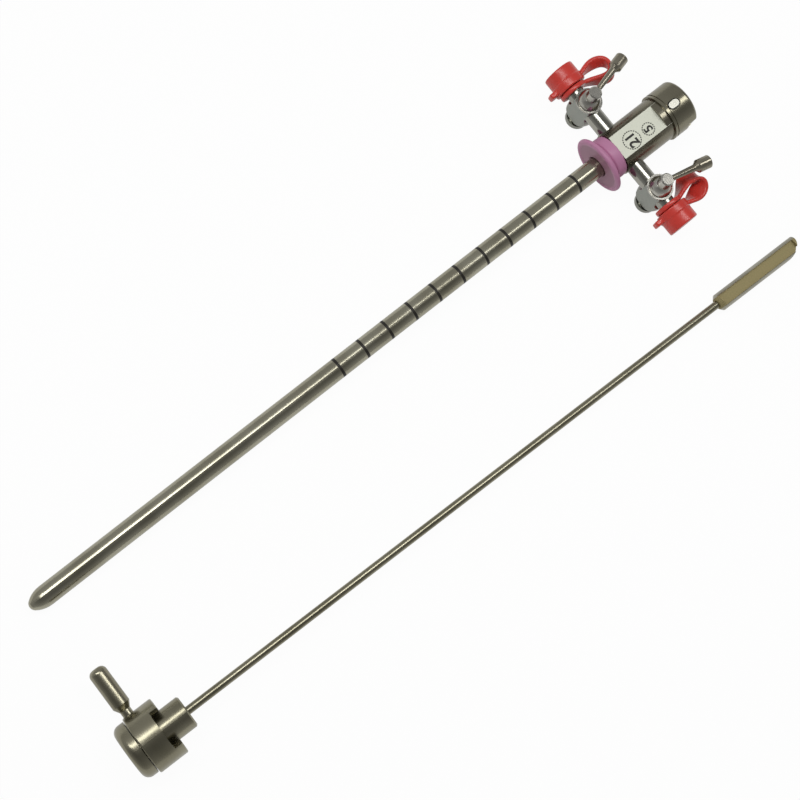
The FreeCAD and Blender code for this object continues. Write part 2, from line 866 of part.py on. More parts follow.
def make_obturator_rod():
    start = size("plug_length") - size("rod_hold")
    end = size("obturator_reach") - size("tip_length") + size("tip_hold")
    rod = turned("obturator_rod", [
        (start, 0),
        (start, half("rod_diameter")),
        (end, half("rod_diameter")),
        (end, 0),
    ])
    lay_down(rod)
    keep("obturator_rod", rod)


def make_obturator_tip():
    """The round tip: a long open trough on top and an end that is rounded from one side."""
    end = size("obturator_reach")
    start = end - size("tip_length")
    rod = half("rod_diameter")
    hole_end = start + size("tip_hold")
    body = turned("obturator_tip", [
        (start, rod),
        (start, TIP_RADIUS - size("tip_bevel")),
        (start + size("tip_bevel"), TIP_RADIUS),
        (end, TIP_RADIUS),
        (end, 0),
        (hole_end, 0),
        (hole_end, rod),
    ])
    milled(body, "XY_Plane", [
        (end - size("beak_length"), -TIP_RADIUS),
        (end, size("beak_rise") - TIP_RADIUS, size("beak_radius"), 1),
        (end, TIP_RADIUS * 2),
        (end + TIP_RADIUS, TIP_RADIUS * 2),
        (end + TIP_RADIUS, -(TIP_RADIUS * 2)),
        (end - size("beak_length"), -(TIP_RADIUS * 2)),
    ])
    trough_length = size("tip_length") - size("trough_start") - size("trough_end")
    trough = block(trough_length, size("trough_width"), TIP_RADIUS)
    place(trough, start + size("trough_start"), -half("trough_width"), TIP_RADIUS - size("trough_depth"))
    tip = cut("obturator_tip", body, [trough])
    lay_down(tip)
    keep("obturator_tip", tip)


def make_coupling_plug():
    """The plug for the sheath's socket, with the journal that the lock ring turns on."""
    edge = size("plug_edge")
    rod = half("rod_diameter")
    rod_end = size("plug_length") - size("rod_hold")
    flange_back = -size("flange_thickness")
    ring_back = -size("ring_length")
    journal_end = ring_back - size("cap_gap")
    spigot_end = journal_end - size("rear_spigot_length")
    plug = turned("coupling_plug", [
        (spigot_end, 0),
        (spigot_end, half("rear_spigot_diameter")),
        (journal_end, half("rear_spigot_diameter")),
        (journal_end, half("journal_diameter")),
        (flange_back, half("journal_diameter")),
        (flange_back, half("flange_diameter")),
        (RING_FACE, half("flange_diameter")),
        (RING_FACE, half("plug_diameter")),
        (size("plug_length") - edge, half("plug_diameter")),
        (size("plug_length"), half("plug_diameter") - edge),
        (size("plug_length"), rod),
        (rod_end, rod),
        (rod_end, 0),
    ])
    lay_down(plug)
    keep("coupling_plug", plug)


def make_lock_ring():
    """The lock ring: a bored ring with a front skirt whose top is cut away between two claws."""
    clearance = size("running_clearance")
    edge = size("ring_edge")
    back = -size("ring_length")
    seat = -size("flange_thickness") - clearance
    flange_hole = half("flange_diameter") + clearance
    journal_hole = half("journal_diameter") + clearance
    skirt = half("skirt_inner_diameter")
    body = turned("lock_ring", [
        (back, journal_hole),
        (back, RING_RADIUS - edge),
        (back + edge, RING_RADIUS, edge, -1),
        (size("skirt_length") - edge, RING_RADIUS),
        (size("skirt_length"), RING_RADIUS - edge, edge, -1),
        (size("skirt_length"), skirt),
        (RING_FACE, skirt),
        (RING_FACE, flange_hole),
        (seat, flange_hole),
        (seat, journal_hole),
    ])
    window = block(size("skirt_length") * 2, size("skirt_window"), RING_RADIUS * 4)
    place(window, 0, -half("skirt_window"), 0)

    pin = half("stop_pin_diameter") + clearance
    sweep = size("lock_turn") + pin / size("stop_pin_radius") * (360 / math.pi)
    groove_outer = cylinder(size("stop_pin_radius") + pin, size("stop_pin_engagement") * 2)
    groove_inner = cylinder(size("stop_pin_radius") - pin, size("stop_pin_engagement") * 3)
    bind(groove_outer, "Angle", sweep)
    place(groove_outer, 0, 0, -size("stop_pin_engagement"))
    place(groove_inner, 0, 0, -(size("stop_pin_engagement") * 1.5))
    groove = cut("groove", groove_outer, [groove_inner])
    before_pin = (sweep - size("lock_turn")) / 2
    place(groove, back + clearance, 0, 0, ("Y", 90), ("Z", 180 - sweep + before_pin))

    grip_hole = cylinder(half("grip_neck_diameter"), RING_RADIUS)
    place(grip_hole, -size("grip_station"), size("grip_root"), 0, ("X", -90))
    ring = cut("lock_ring", body, [window, groove, grip_hole])
    lay_down(ring)
    keep("lock_ring", ring)


def make_lock_lever():
    """The grip of the lock ring: a neck that flares into a thick round-ended bar."""
    neck = half("grip_neck_diameter")
    grip = half("grip_diameter")
    rounding = size("grip_round")
    end = size("grip_end")
    lever = turned("lock_lever", [
        (0, size("grip_root")),
        (neck, size("grip_root")),
        (neck, size("grip_neck_end")),
        (grip, size("grip_neck_end") + size("grip_flare")),
        (grip, end - rounding),
        (grip - rounding, end, rounding, 1),
        (0, end),
    ], "V_Axis")
    lay_down_at(lever, -size("grip_station"), 0, ("X", -90))
    keep("lock_lever", lever)


def make_rear_cap():
    """The rounded end cap behind the ring, and the pin in it that limits the ring's turn."""
    front = -size("ring_length") - size("cap_gap")
    back = front - size("rear_cap_length")
    radius = half("rear_cap_diameter")
    edge = size("rear_cap_edge")
    spigot = half("rear_spigot_diameter")
    spigot_end = front - size("rear_spigot_length")
    body = turned("rear_cap", [
        (back, 0),
        (back, radius - edge),
        (back + edge, radius, edge, -1),
        (front, radius),
        (front, spigot),
        (spigot_end, spigot),
        (spigot_end, 0),
    ])
    pin = half("stop_pin_diameter")
    pin_hole = cylinder(pin, size("stop_pin_hold") * 2)
    place(pin_hole, front - size("stop_pin_hold"), 0, size("stop_pin_radius"), ("Y", 90))
    cap = cut("rear_cap", body, [pin_hole])
    lay_down(cap)
    keep("rear_cap", cap)

    reach = size("stop_pin_hold") + size("cap_gap") + size("stop_pin_engagement") - size("running_clearance") * 2
    stop_pin = turned("stop_pin", [
        (0, -size("stop_pin_hold")),
        (pin, -size("stop_pin_hold")),
        (pin, reach - size("stop_pin_hold")),
        (0, reach - size("stop_pin_hold")),
    ], "V_Axis")
    lay_down_at(stop_pin, front, size("stop_pin_radius"), ("Y", 90))
    keep("stop_pin", stop_pin)


def make_side(side, sign):
    make_port_arm(side, sign)
    make_barrel(side, sign)
    make_key(side, sign)
    make_lever(side, sign)
    make_washer_and_nut(side, sign)
    make_luer_port(side, sign)
    make_cap(side, sign)
    make_strap(side, sign)


def check_and_write():
    """Every object must have built, and every sub-part must be a sound solid."""
    document.recompute()
    for thing in document.Objects:
        if "Invalid" in thing.State or "Error" in thing.State:
            raise RuntimeError("%s did not build" % thing.Label)
    for node in nodes:
        if node.Shape.isNull() or not node.Shape.isValid() or not node.Shape.Solids:
            raise RuntimeError("%s is not a sound solid" % node.Label)
    os.makedirs("parts", exist_ok=True)
    for node in nodes:
        node.Shape.exportStep("parts/" + node.Label + ".step")
        print(node.Label, len(node.Shape.Solids), round(node.Shape.Volume, 1))


make_sheath_tube()
make_guard_collar()
make_hub_body()
make_coupling()
for port_side, port_sign in SIDES:
    make_side(port_side, port_sign)
make_obturator_rod()
make_obturator_tip()
make_coupling_plug()
make_lock_ring()
make_lock_lever()
make_rear_cap()
check_and_write()
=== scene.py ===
# The looks of a 21 Fr cystoscope sheath that lies beside its obturator, seen from above.
# Metres; the sheath's axis is X with its tip towards -X, and its ground flat faces +Z.

import math

import bpy
from mathutils import Matrix, Vector


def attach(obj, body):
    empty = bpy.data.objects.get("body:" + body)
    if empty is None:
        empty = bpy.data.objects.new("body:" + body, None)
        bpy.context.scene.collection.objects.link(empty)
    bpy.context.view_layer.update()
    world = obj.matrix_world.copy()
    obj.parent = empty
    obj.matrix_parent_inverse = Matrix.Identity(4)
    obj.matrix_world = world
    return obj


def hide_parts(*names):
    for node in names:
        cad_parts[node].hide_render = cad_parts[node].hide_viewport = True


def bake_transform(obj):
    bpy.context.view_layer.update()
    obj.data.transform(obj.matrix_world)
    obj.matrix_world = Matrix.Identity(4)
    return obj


MM = 0.001
SIDES = (("left", 1), ("right", -1))

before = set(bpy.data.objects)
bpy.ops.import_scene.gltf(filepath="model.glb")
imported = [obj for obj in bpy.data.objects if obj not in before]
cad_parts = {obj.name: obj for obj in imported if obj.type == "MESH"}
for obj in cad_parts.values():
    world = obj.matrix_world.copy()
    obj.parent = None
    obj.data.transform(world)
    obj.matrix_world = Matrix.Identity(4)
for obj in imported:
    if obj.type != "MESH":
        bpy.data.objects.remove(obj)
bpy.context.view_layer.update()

# places and sizes that this script shares with the part's source, and those of its marks, in mm
PORT_X = -26.7
STOPCOCK_Y = 18.5
LEAN = math.radians(7)
FLAT_Z = 6.45
FACET_DEPTH = 3.1
GUARD_FRONT = -37.25
TUBE_TIP = -268.25
FLOOR_POINT = (-24.891, -11.500)
FLOOR_SLOPE = 0.034431
FIRST_MARK = 121.0
MARK_PITCH = 10.0
MARK_WIDTH = 1.0
MARKS = 11
GUIDE_KEY_X = -6.0
GUIDE_KEY_STRAIGHT = 1.5
GUIDE_KEY_WIDTH = 2.4
TROUGH_WIDTH = 3.9
RIM_INNER_RADIUS = 8.5

# directions: of the keys, square to the barrels' ground facets, along the levers, and across the
# obturator, with the place of the obturator's middle line on it in mm
KEY_AXIS = (math.sin(LEAN), 0, math.cos(LEAN))
FACET_AXIS = (math.cos(LEAN), 0, -math.sin(LEAN))
LEVER_AXIS = (0.966, 0, -0.122)
TROUGH_AXIS = (0.02705, 0.99963, 0)
TROUGH_MIDDLE = -61.397


# Colours and nodes

def colour(hex_code, alpha=1.0):
    """An sRGB hex value as a linear colour."""
    channels = [int(hex_code[place:place + 2], 16) / 255 for place in (1, 3, 5)]
    linear = [c / 12.92 if c <= 0.04045 else ((c + 0.055) / 1.055) ** 2.4 for c in channels]
    return (*linear, alpha)


def add(tree, kind, inputs=None, **settings):
    """Add a node with its settings; an input is a value, or another node's output."""
    node = tree.nodes.new(kind)
    for name, value in settings.items():
        setattr(node, name, value)
    for name, value in (inputs or {}).items():
        if isinstance(value, bpy.types.NodeSocket):
            tree.links.new(value, node.inputs[name])
        else:
            node.inputs[name].default_value = value
    return node


def new_material(name, base, metallic, roughness, **sockets):
    """A material whose even values sit on its shader. Returns it, its tree and its shader."""
    material = bpy.data.materials.new(name)
    material.use_nodes = True
    tree = material.node_tree
    shader = tree.nodes["Principled BSDF"]
    shader.inputs["Base Color"].default_value = colour(base)
    shader.inputs["Metallic"].default_value = metallic
    shader.inputs["Roughness"].default_value = roughness
    for socket, value in sockets.items():
        shader.inputs[socket.replace("_", " ")].default_value = value
    return material, tree, shader


def dress(material, *names):
    """Give CAD nodes a material in place of the one that they came with."""
    for name in names:
        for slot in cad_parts[name].material_slots:
            slot.material = material


def pair(name):
    return name + "_left", name + "_right"


def distance_along(tree, spot, axis):
    """The spot's place along an axis, in mm."""
    scaled = Vector(axis) * 1000
    return add(tree, "ShaderNodeVectorMath", {0: spot, 1: scaled}, operation="DOT_PRODUCT").outputs["Value"]


def inside(tree, value, low, high, edge=0.01):
    """1 where a value in mm is between low and high, with a soft edge."""
    middle = add(tree, "ShaderNodeMath", {0: value, 1: (low + high) / 2}, operation="SUBTRACT").outputs[0]
    away = add(tree, "ShaderNodeMath", {0: middle}, operation="ABSOLUTE").outputs[0]
    half = (high - low) / 2
    return add(tree, "ShaderNodeMapRange",
               {"Value": away, "From Min": half + edge, "From Max": half - edge}).outputs["Result"]


def depth_marks(tree, spot):
    """The depth marks: rings round the tube, each in the middle of its own pitch."""
    start = TUBE_TIP + FIRST_MARK - MARK_PITCH / 2
    x = distance_along(tree, spot, (1, 0, 0))
    step = add(tree, "ShaderNodeMath", {0: x, 1: -start}, operation="ADD").outputs[0]
    share = add(tree, "ShaderNodeMath", {0: step, 1: MARK_PITCH}, operation="FLOORED_MODULO").outputs[0]
    ring = inside(tree, share, (MARK_PITCH - MARK_WIDTH) / 2, (MARK_PITCH + MARK_WIDTH) / 2, 0.08)
    reach = inside(tree, x, start, start + MARKS * MARK_PITCH)
    return add(tree, "ShaderNodeMath", {0: ring, 1: reach}, operation="MULTIPLY").outputs[0]


def ground_flat(tree, spot):
    return inside(tree, distance_along(tree, spot, (0, 0, 1)), FLAT_Z - 0.03, FLAT_Z + 0.03)


def ground_facet(tree, spot):
    facet = PORT_X * FACET_AXIS[0] - FACET_DEPTH
    return inside(tree, distance_along(tree, spot, FACET_AXIS), facet - 0.04, facet + 0.04)


def tip_trough(tree, spot):
    """The cleaning trough of the obturator's tip, by the distance from the tip's middle line."""
    half = TROUGH_WIDTH / 2 + 0.1
    return inside(tree, distance_along(tree, spot, TROUGH_AXIS), TROUGH_MIDDLE - half, TROUGH_MIDDLE + half)


def painted_key_shadow(tree, spot):
    """The dark line round the guide key: a painted shadow of the gap between the key and its pocket."""
    x = distance_along(tree, spot, (1, 0, 0))
    y = distance_along(tree, spot, (0, 1, 0))
    off = add(tree, "ShaderNodeMath", {0: x, 1: -GUIDE_KEY_X}, operation="ADD").outputs[0]
    length = add(tree, "ShaderNodeMath", {0: off}, operation="ABSOLUTE").outputs[0]
    beyond = add(tree, "ShaderNodeMath", {0: length, 1: GUIDE_KEY_STRAIGHT / 2},
                 operation="SUBTRACT").outputs[0]
    end = add(tree, "ShaderNodeMath", {0: beyond, 1: 0.0}, operation="MAXIMUM").outputs[0]
    away = add(tree, "ShaderNodeCombineXYZ", {"X": end, "Y": y}).outputs[0]
    reach = add(tree, "ShaderNodeVectorMath", {0: away}, operation="LENGTH").outputs["Value"]
    near = inside(tree, reach, -1.0, GUIDE_KEY_WIDTH / 2 + 0.45, 0.12)
    top = inside(tree, distance_along(tree, spot, (0, 0, 1)), 2.0, 20.0)
    return add(tree, "ShaderNodeMath", {0: near, 1: top}, operation="MULTIPLY").outputs[0]


def steel(name, base, stained, roughness, axis=(1, 0, 0), groove=1.2, cut=0.03, patch=None):
    """Turned stainless steel: rings groove mm apart about axis, and slow stains.

    A patch is a function for its mask, its two colours, its roughness and its metallic value; its colours are
    a real mark or finish, or a painted shadow.
    """
    material, tree, shader = new_material(name, base, 1.0, roughness)
    spot = add(tree, "ShaderNodeTexCoord").outputs["Object"]
    along = add(tree, "ShaderNodeVectorMath", {0: spot, 1: axis}, operation="DOT_PRODUCT").outputs["Value"]
    rings = add(tree, "ShaderNodeTexNoise", {"W": along, "Scale": 1000 / groove, "Detail": 3.0},
                noise_dimensions="1D").outputs["Fac"]
    haze = add(tree, "ShaderNodeTexNoise", {"Vector": spot, "Scale": 1000 / 11, "Detail": 4.0}).outputs["Fac"]
    stain = add(tree, "ShaderNodeMapRange",
                {"Value": haze, "From Min": 0.4, "From Max": 0.72}).outputs["Result"]
    shade = add(tree, "ShaderNodeMix", {0: stain, 6: colour(base), 7: colour(stained)},
                data_type="RGBA").outputs[2]
    rough = add(tree, "ShaderNodeMapRange",
                {"Value": rings, "From Min": 0.3, "From Max": 0.7,
                 "To Min": roughness * 0.95, "To Max": roughness * 1.06}).outputs["Result"]
    if patch:
        mask_of, light, dark, patch_roughness, patch_metallic = patch
        mask = mask_of(tree, spot)
        grit = add(tree, "ShaderNodeTexNoise",
                   {"Vector": spot, "Scale": 1000 / 0.5, "Detail": 4.0}).outputs["Fac"]
        # the patch's colours: a real mark or finish, or, round the guide key, a painted shadow
        finish_or_painted_shadow = add(tree, "ShaderNodeMix", {0: grit, 6: colour(light), 7: colour(dark)},
                     data_type="RGBA").outputs[2]
        shade = add(tree, "ShaderNodeMix", {0: mask, 6: shade, 7: finish_or_painted_shadow}, data_type="RGBA").outputs[2]
        rough = add(tree, "ShaderNodeMix", {0: mask, 2: rough, 3: patch_roughness}).outputs[0]
        metal = add(tree, "ShaderNodeMapRange", {"Value": mask, "To Min": 1.0, "To Max": patch_metallic})
        tree.links.new(metal.outputs["Result"], shader.inputs["Metallic"])
    tree.links.new(shade, shader.inputs["Base Color"])
    tree.links.new(rough, shader.inputs["Roughness"])
    bump = add(tree, "ShaderNodeBump", {"Height": rings, "Strength": cut, "Distance": 0.02 * MM})
    tree.links.new(bump.outputs["Normal"], shader.inputs["Normal"])
    return material


def dress_metal():
    # drawn tube, polished along its length: a warm, slightly green grey with broad dark bands
    tube = steel("drawn_and_polished_stainless_tube", "#a5a291", "#938f7d", 0.22, groove=2.5, cut=0.01,
                 patch=(depth_marks, "#1b1813", "#26221b", 0.5, 0.3))
    dress(tube, "sheath_tube")
    # turned bar with a ground flat: dark sides, and a flat that is pale and even
    hub = steel("turned_stainless_hub", "#7f7b6c", "#716d5e", 0.27,
                patch=(ground_flat, "#dddfd0", "#d0d2c2", 0.55, 0.3))
    dress(hub, "hub_body")
    # the collar carries a painted shadow: a dark frame round the guide key, where the gap round it is in
    # shade
    collar = steel("turned_stainless_collar", "#888473", "#787463", 0.24, groove=0.8, cut=0.04,
                   patch=(painted_key_shadow, "#211f1a", "#2b2923", 0.5, 0.5))
    dress(collar, "coupling_collar")
    # fittings polished on a wheel: whiter than the tube and close to a mirror
    arms = steel("polished_stainless_ports", "#a09f96", "#8e8d84", 0.14, axis=(0, 1, 0),
                 groove=4.0, cut=0.004)
    dress(arms, *pair("port_arm"), *pair("luer_port"))
    barrel = steel("polished_stopcock_barrel", "#9d9d96", "#898882", 0.17, axis=KEY_AXIS,
                   groove=4.0, cut=0.004, patch=(ground_facet, "#a6aaa2", "#989c94", 0.5, 0.6))
    dress(barrel, *pair("stopcock_barrel"))
    keys = steel("bright_polished_keys", "#b6b4ac", "#a2a098", 0.23, axis=KEY_AXIS, groove=4.0, cut=0.004)
    dress(keys, *pair("stopcock_key"), *pair("spring_washer"))
    # the guide key's base is paler than the collar's, a painted highlight, and it has no rings
    key_with_painted_highlight = steel("stainless_key_with_painted_highlight", "#bab9af", "#acaba1", 0.36, groove=6.0, cut=0.004)
    dress(key_with_painted_highlight, "guide_key")
    nuts = steel("turned_stainless_nuts", "#94958c", "#82837a", 0.25, axis=KEY_AXIS)
    dress(nuts, *pair("key_nut"))
    levers = steel("turned_stainless_levers", "#989384", "#857f70", 0.26, axis=LEVER_AXIS,
                   groove=4.0, cut=0.004)
    dress(levers, *pair("key_lever"))
    rod = steel("turned_stainless_obturator", "#938f7c", "#817d6a", 0.26, groove=4.0, cut=0.004)
    dress(rod, "obturator_rod", "coupling_plug", "lock_ring", "rear_cap", "stop_pin")
    # the trough is blasted, not polished, and has a brown bloom
    tip = steel("turned_stainless_tip", "#a09d90", "#8d8a7c", 0.25, groove=4.0, cut=0.004,
                patch=(tip_trough, "#a08f66", "#8f895e", 0.62, 0.35))
    dress(tip, "obturator_tip")
    grip = steel("polished_grip", "#95917f", "#807c6a", 0.24, axis=(0, 1, 0), groove=4.0, cut=0.004)
    dress(grip, "lock_lever")


def painted_face_shade(tree, spot):
    """The front of the guard inside its rim, which gets painted shade: a darker colour."""
    across = add(tree, "ShaderNodeVectorMath", {0: spot, 1: (0, 1000, 1000)}, operation="MULTIPLY").outputs[0]
    radius = add(tree, "ShaderNodeVectorMath", {0: across}, operation="LENGTH").outputs["Value"]
    face = inside(tree, radius, -1.0, RIM_INNER_RADIUS, 0.35)
    front = inside(tree, distance_along(tree, spot, (1, 0, 0)), GUARD_FRONT - 1, GUARD_FRONT + 0.8)
    return add(tree, "ShaderNodeMath", {0: face, 1: front}, operation="MULTIPLY").outputs[0]


def moulded(name, base, deep, roughness, grain, swell, painted_shade=None, **sockets):
    """Moulded silicone rubber: a soft satin skin with cloudy colour and a fine grain.

    A painted shade patch is a function for its mask and its darker colour.
    """
    material, tree, shader = new_material(name, base, 0.0, roughness, **sockets)
    spot = add(tree, "ShaderNodeTexCoord").outputs["Object"]
    cloud = add(tree, "ShaderNodeTexNoise", {"Vector": spot, "Scale": 1000 / 5, "Detail": 3.0}).outputs["Fac"]
    shade = add(tree, "ShaderNodeMix", {0: cloud, 6: colour(base), 7: colour(deep)},
                data_type="RGBA").outputs[2]
    # an optional patch of painted shade, mixed in over its mask
    if painted_shade:
        mask_of, shade_colour = painted_shade
        shade = add(tree, "ShaderNodeMix", {0: mask_of(tree, spot), 6: shade, 7: colour(shade_colour)},
                    data_type="RGBA").outputs[2]
    tree.links.new(shade, shader.inputs["Base Color"])
    skin = add(tree, "ShaderNodeTexNoise",
               {"Vector": spot, "Scale": 1000 / grain, "Detail": 3.0}).outputs["Fac"]
    rough = add(tree, "ShaderNodeMapRange", {"Value": skin, "To Min": roughness * 0.85,
                                             "To Max": roughness * 1.15}).outputs["Result"]
    tree.links.new(rough, shader.inputs["Roughness"])
    bump = add(tree, "ShaderNodeBump", {"Height": skin, "Strength": swell, "Distance": 0.05 * MM})
    tree.links.new(bump.outputs["Normal"], shader.inputs["Normal"])
    return material


def ink():
    # laser marking: a black oxide film that is matte and has no thickness to speak of
    material, tree, shader = new_material("black_laser_marking", "#191814", 0.0, 0.6)
    spot = add(tree, "ShaderNodeTexCoord").outputs["Object"]
    burn = add(tree, "ShaderNodeTexNoise",
               {"Vector": spot, "Scale": 1000 / 0.3, "Detail": 2.0}).outputs["Fac"]
    shade = add(tree, "ShaderNodeMix", {0: burn, 6: colour("#12110e"), 7: colour("#2b2922")},
                data_type="RGBA").outputs[2]
    tree.links.new(shade, shader.inputs["Base Color"])
    return material


# Pieces made here

def deselect():
    for thing in bpy.context.selected_objects:
        thing.select_set(False)


def settle(thing, name, material, smooth=True):
    """Name a finished piece, clear its transform into its mesh and dress it."""
    deselect()
    bpy.context.view_layer.objects.active = thing
    thing.select_set(True)
    bpy.ops.object.transform_apply(location=True, rotation=True, scale=True)
    thing.name = name
    for face in thing.data.polygons:
        face.use_smooth = smooth
    thing.data.materials.clear()
    thing.data.materials.append(material)


def finish_with(thing, kind, **settings):
    """Add a modifier and apply it."""
    modifier = thing.modifiers.new(kind.title(), kind)
    for name, value in settings.items():
        setattr(modifier, name, value)
    bpy.context.view_layer.objects.active = thing
    bpy.ops.object.modifier_apply(modifier=modifier.name)


def turn(profile, around):
    """Turn a profile of (place along Z, radius) in mm, ring by ring; an open one gets a flat at each end."""
    deselect()
    start, radius = profile[0]
    bpy.ops.mesh.primitive_circle_add(vertices=around, radius=radius * MM, location=(0, 0, start * MM))
    bpy.ops.object.transform_apply(location=True)
    turned = bpy.context.object
    bpy.ops.object.mode_set(mode="EDIT")
    bpy.ops.mesh.select_all(action="SELECT")
    for place, width in profile[1:]:
        bpy.ops.mesh.extrude_edges_move(TRANSFORM_OT_translate={"value": (0, 0, (place - start) * MM)})
        bpy.ops.transform.resize(value=(width / radius, width / radius, 1))
        start, radius = place, width
    if profile[0] != profile[-1]:
        bpy.ops.mesh.edge_face_add()
        bpy.ops.mesh.select_all(action="DESELECT")
        bpy.ops.mesh.select_non_manifold()
        bpy.ops.mesh.edge_face_add()
    bpy.ops.mesh.select_all(action="SELECT")
    bpy.ops.mesh.remove_doubles(threshold=0.002 * MM)
    bpy.ops.mesh.normals_make_consistent(inside=False)
    bpy.ops.mesh.select_all(action="DESELECT")
    bpy.ops.object.mode_set(mode="OBJECT")
    return turned


def edit_faces(thing, wanted):
    """Go into edit mode with only the wanted faces selected, by their numbers."""
    bpy.context.tool_settings.mesh_select_mode = (False, False, True)
    bpy.ops.object.mode_set(mode="EDIT")
    bpy.ops.mesh.select_all(action="DESELECT")
    bpy.ops.object.mode_set(mode="OBJECT")
    for number in wanted:
        thing.data.polygons[number].select = True
    bpy.ops.object.mode_set(mode="EDIT")


def leave_edit():
    bpy.ops.object.mode_set(mode="OBJECT")
    bpy.context.tool_settings.mesh_select_mode = (True, False, False)


def make_guard(material):
    """The soft collar: a dished disc with a thick round rim, a groove and a second collar."""
    guard = turn([(0.12, 3.5), (0.05, 4.0), (0.22, 6.4), (0.22, 8.3), (0.04, 8.9), (0.0, 9.5), (0.35, 10.22),
                  (0.9, 10.3), (1.45, 10.22), (1.8, 9.5), (1.86, 8.9), (2.3, 7.5), (2.75, 6.95), (3.05, 7.0),
                  (3.25, 7.35), (3.6, 7.55), (4.6, 7.6), (6.2, 7.5), (6.7, 7.42), (6.92, 7.1), (6.95, 6.4),
                  (6.95, 3.5), (0.12, 3.5)], 48)
    finish_with(guard, "SUBSURF", levels=2, render_levels=2)
    guard.matrix_world = (Matrix.Translation((GUARD_FRONT * MM, 0, 0))
                          @ Matrix.Rotation(math.radians(90), 4, "Y"))
    settle(guard, "soft_guard", material)
    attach(guard, "sheath")
    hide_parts("guard_collar")


def point_out(thing, sign):
    """Turn a piece made along Z to point out along its port, from the key's axis."""
    thing.matrix_world = (Matrix.Translation((PORT_X * MM, STOPCOCK_Y * sign * MM, 0))
                          @ Matrix.Rotation(math.radians(-90) * sign, 4, "X"))


def make_cap(side, sign, material):
    """A moulded cap with a brim at its open end, and a pull tab that grows out of its wall."""
    cap = turn([(13.35, 0.6), (13.35, 3.8), (13.3, 4.08), (13.1, 4.1), (8.4, 4.1), (7.6, 4.2), (7.42, 4.6),
                (7.4, 5.3), (7.5, 5.72), (7.75, 5.86), (8.05, 5.86), (9.0, 5.86), (9.95, 5.86), (10.3, 5.84),
                (10.45, 5.62), (10.9, 5.6), (13.9, 5.6), (14.45, 5.58), (14.72, 5.42), (14.8, 4.9),
                (14.8, 0.6)], 24)
    edit_faces(cap, [face.index for face in cap.data.polygons if face.center.x < -5.2 * MM
                     and abs(face.center.y) < 2.3 * MM and 8.06 * MM < face.center.z < 9.94 * MM])
    bpy.ops.mesh.inset(thickness=0.1 * MM)
    for reach, width, height in ((0.35, 0.78, 1.1), (0.9, 0.93, 1.05), (1.2, 1.0, 1.0), (0.2, 0.6, 0.6)):
        bpy.ops.mesh.extrude_region_move(TRANSFORM_OT_translate={"value": (-reach * MM, 0, 0)})
        bpy.ops.transform.resize(value=(0.4, width, height))
    leave_edit()
    finish_with(cap, "SUBSURF", levels=2, render_levels=2)
    point_out(cap, sign)
    settle(cap, "soft_cap_" + side, material)
    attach(cap, "cap_" + side)
    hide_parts("luer_cap_" + side)


def make_strap_ring(side, sign, material):
    """The eye of the strap, which sits round the neck of the luer port."""
    ring = turn([(5.6, 3.1), (5.56, 3.6), (5.56, 4.5), (5.7, 4.95), (6.1, 5.02), (6.7, 5.02), (7.15, 4.95),
                 (7.3, 4.5), (7.3, 3.6), (7.25, 3.1), (5.6, 3.1)], 32)
    finish_with(ring, "SUBSURF", levels=2, render_levels=2)
    point_out(ring, sign)
    settle(ring, "strap_eye_" + side, material)
    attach(ring, "sheath")
    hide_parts("strap_ring_" + side)


# the strap's path in plan, from its eye round to the cap, as x and distance from the sheath's axis
STRAP_PATHS = {
    "left": [(-22.6, 24.9), (-20.4, 24.4), (-17.6, 22.6), (-14.6, 21.3), (-12.0, 22.0), (-10.7, 24.6),
             (-11.5, 27.2), (-13.9, 28.5), (-17.0, 28.8), (-19.6, 28.3), (-21.7, 27.9)],
    "right": [(-22.6, 24.9), (-20.3, 23.8), (-17.8, 21.8), (-15.0, 21.0), (-12.8, 22.2), (-12.2, 24.6),
              (-13.8, 26.7), (-16.6, 27.7), (-19.4, 28.0), (-21.7, 27.9)],
}
# how far each band leans out of the upright, and half its flat width before its round edges
STRAP_LEAN = {"left": math.radians(42), "right": math.radians(68)}
STRAP_HALF_WIDTH = {"left": 1.5, "right": 2.5}
STRAP_EDGE_RADIUS = 0.8
# the strap stands upright by its eye at this x, and leans in full this much further on
STRAP_UPRIGHT_X = -21.5
STRAP_LEAN_LENGTH = 7
# its height where it is 25 mm out from the sheath's axis, and how much it sinks for each mm beyond
STRAP_HEIGHT = -0.4
STRAP_SINK = 0.25


def make_strap(side, sign, material):
    """The flat silicone strap: a band on edge that loops from its eye to the cap and leans outward."""
    deselect()
    bpy.ops.curve.primitive_nurbs_path_add()
    band = bpy.context.object
    path = [Vector((x, y * sign, STRAP_HEIGHT - STRAP_SINK * (y - 25))) * MM for x, y in STRAP_PATHS[side]]
    spline = band.data.splines[0]
    spline.points.add(len(path) - len(spline.points))
    spline.order_u = 4
    spline.use_endpoint_u = True
    spline.resolution_u = 6
    for place, point in enumerate(spline.points):
        point.co = (*path[place], 1.0)
        before, after = path[max(place - 1, 0)], path[min(place + 1, len(path) - 1)]
        along = (after - before).normalized()
        upright = (Vector((0, 0, 1)) - along * along.z).normalized()
        share = min(max((path[place].x / MM - STRAP_UPRIGHT_X) / STRAP_LEAN_LENGTH, 0), 1)
        lean = STRAP_LEAN[side] * share * share * (3 - 2 * share)
        wanted = Vector((0, math.sin(lean) * sign, math.cos(lean)))
        wanted = (wanted - along * along.dot(wanted)).normalized()
        point.tilt = math.atan2(upright.cross(wanted).dot(along), upright.dot(wanted))
    band.data.dimensions = "3D"
    band.data.twist_mode = "Z_UP"
    band.data.extrude = STRAP_HALF_WIDTH[side] * MM
    band.data.bevel_depth = STRAP_EDGE_RADIUS * MM
    band.data.bevel_resolution = 3
    band.data.use_fill_caps = True
    bpy.ops.object.convert(target="MESH")
    band = bpy.context.object
    settle(band, "strap_" + side, material)
    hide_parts("cap_strap_" + side)
    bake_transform(band)


# how thick a figure is and how far its strokes are fattened, as shares of its size
FIGURE_THICKNESS = 0.003
FIGURE_BOLDNESS = 0.03


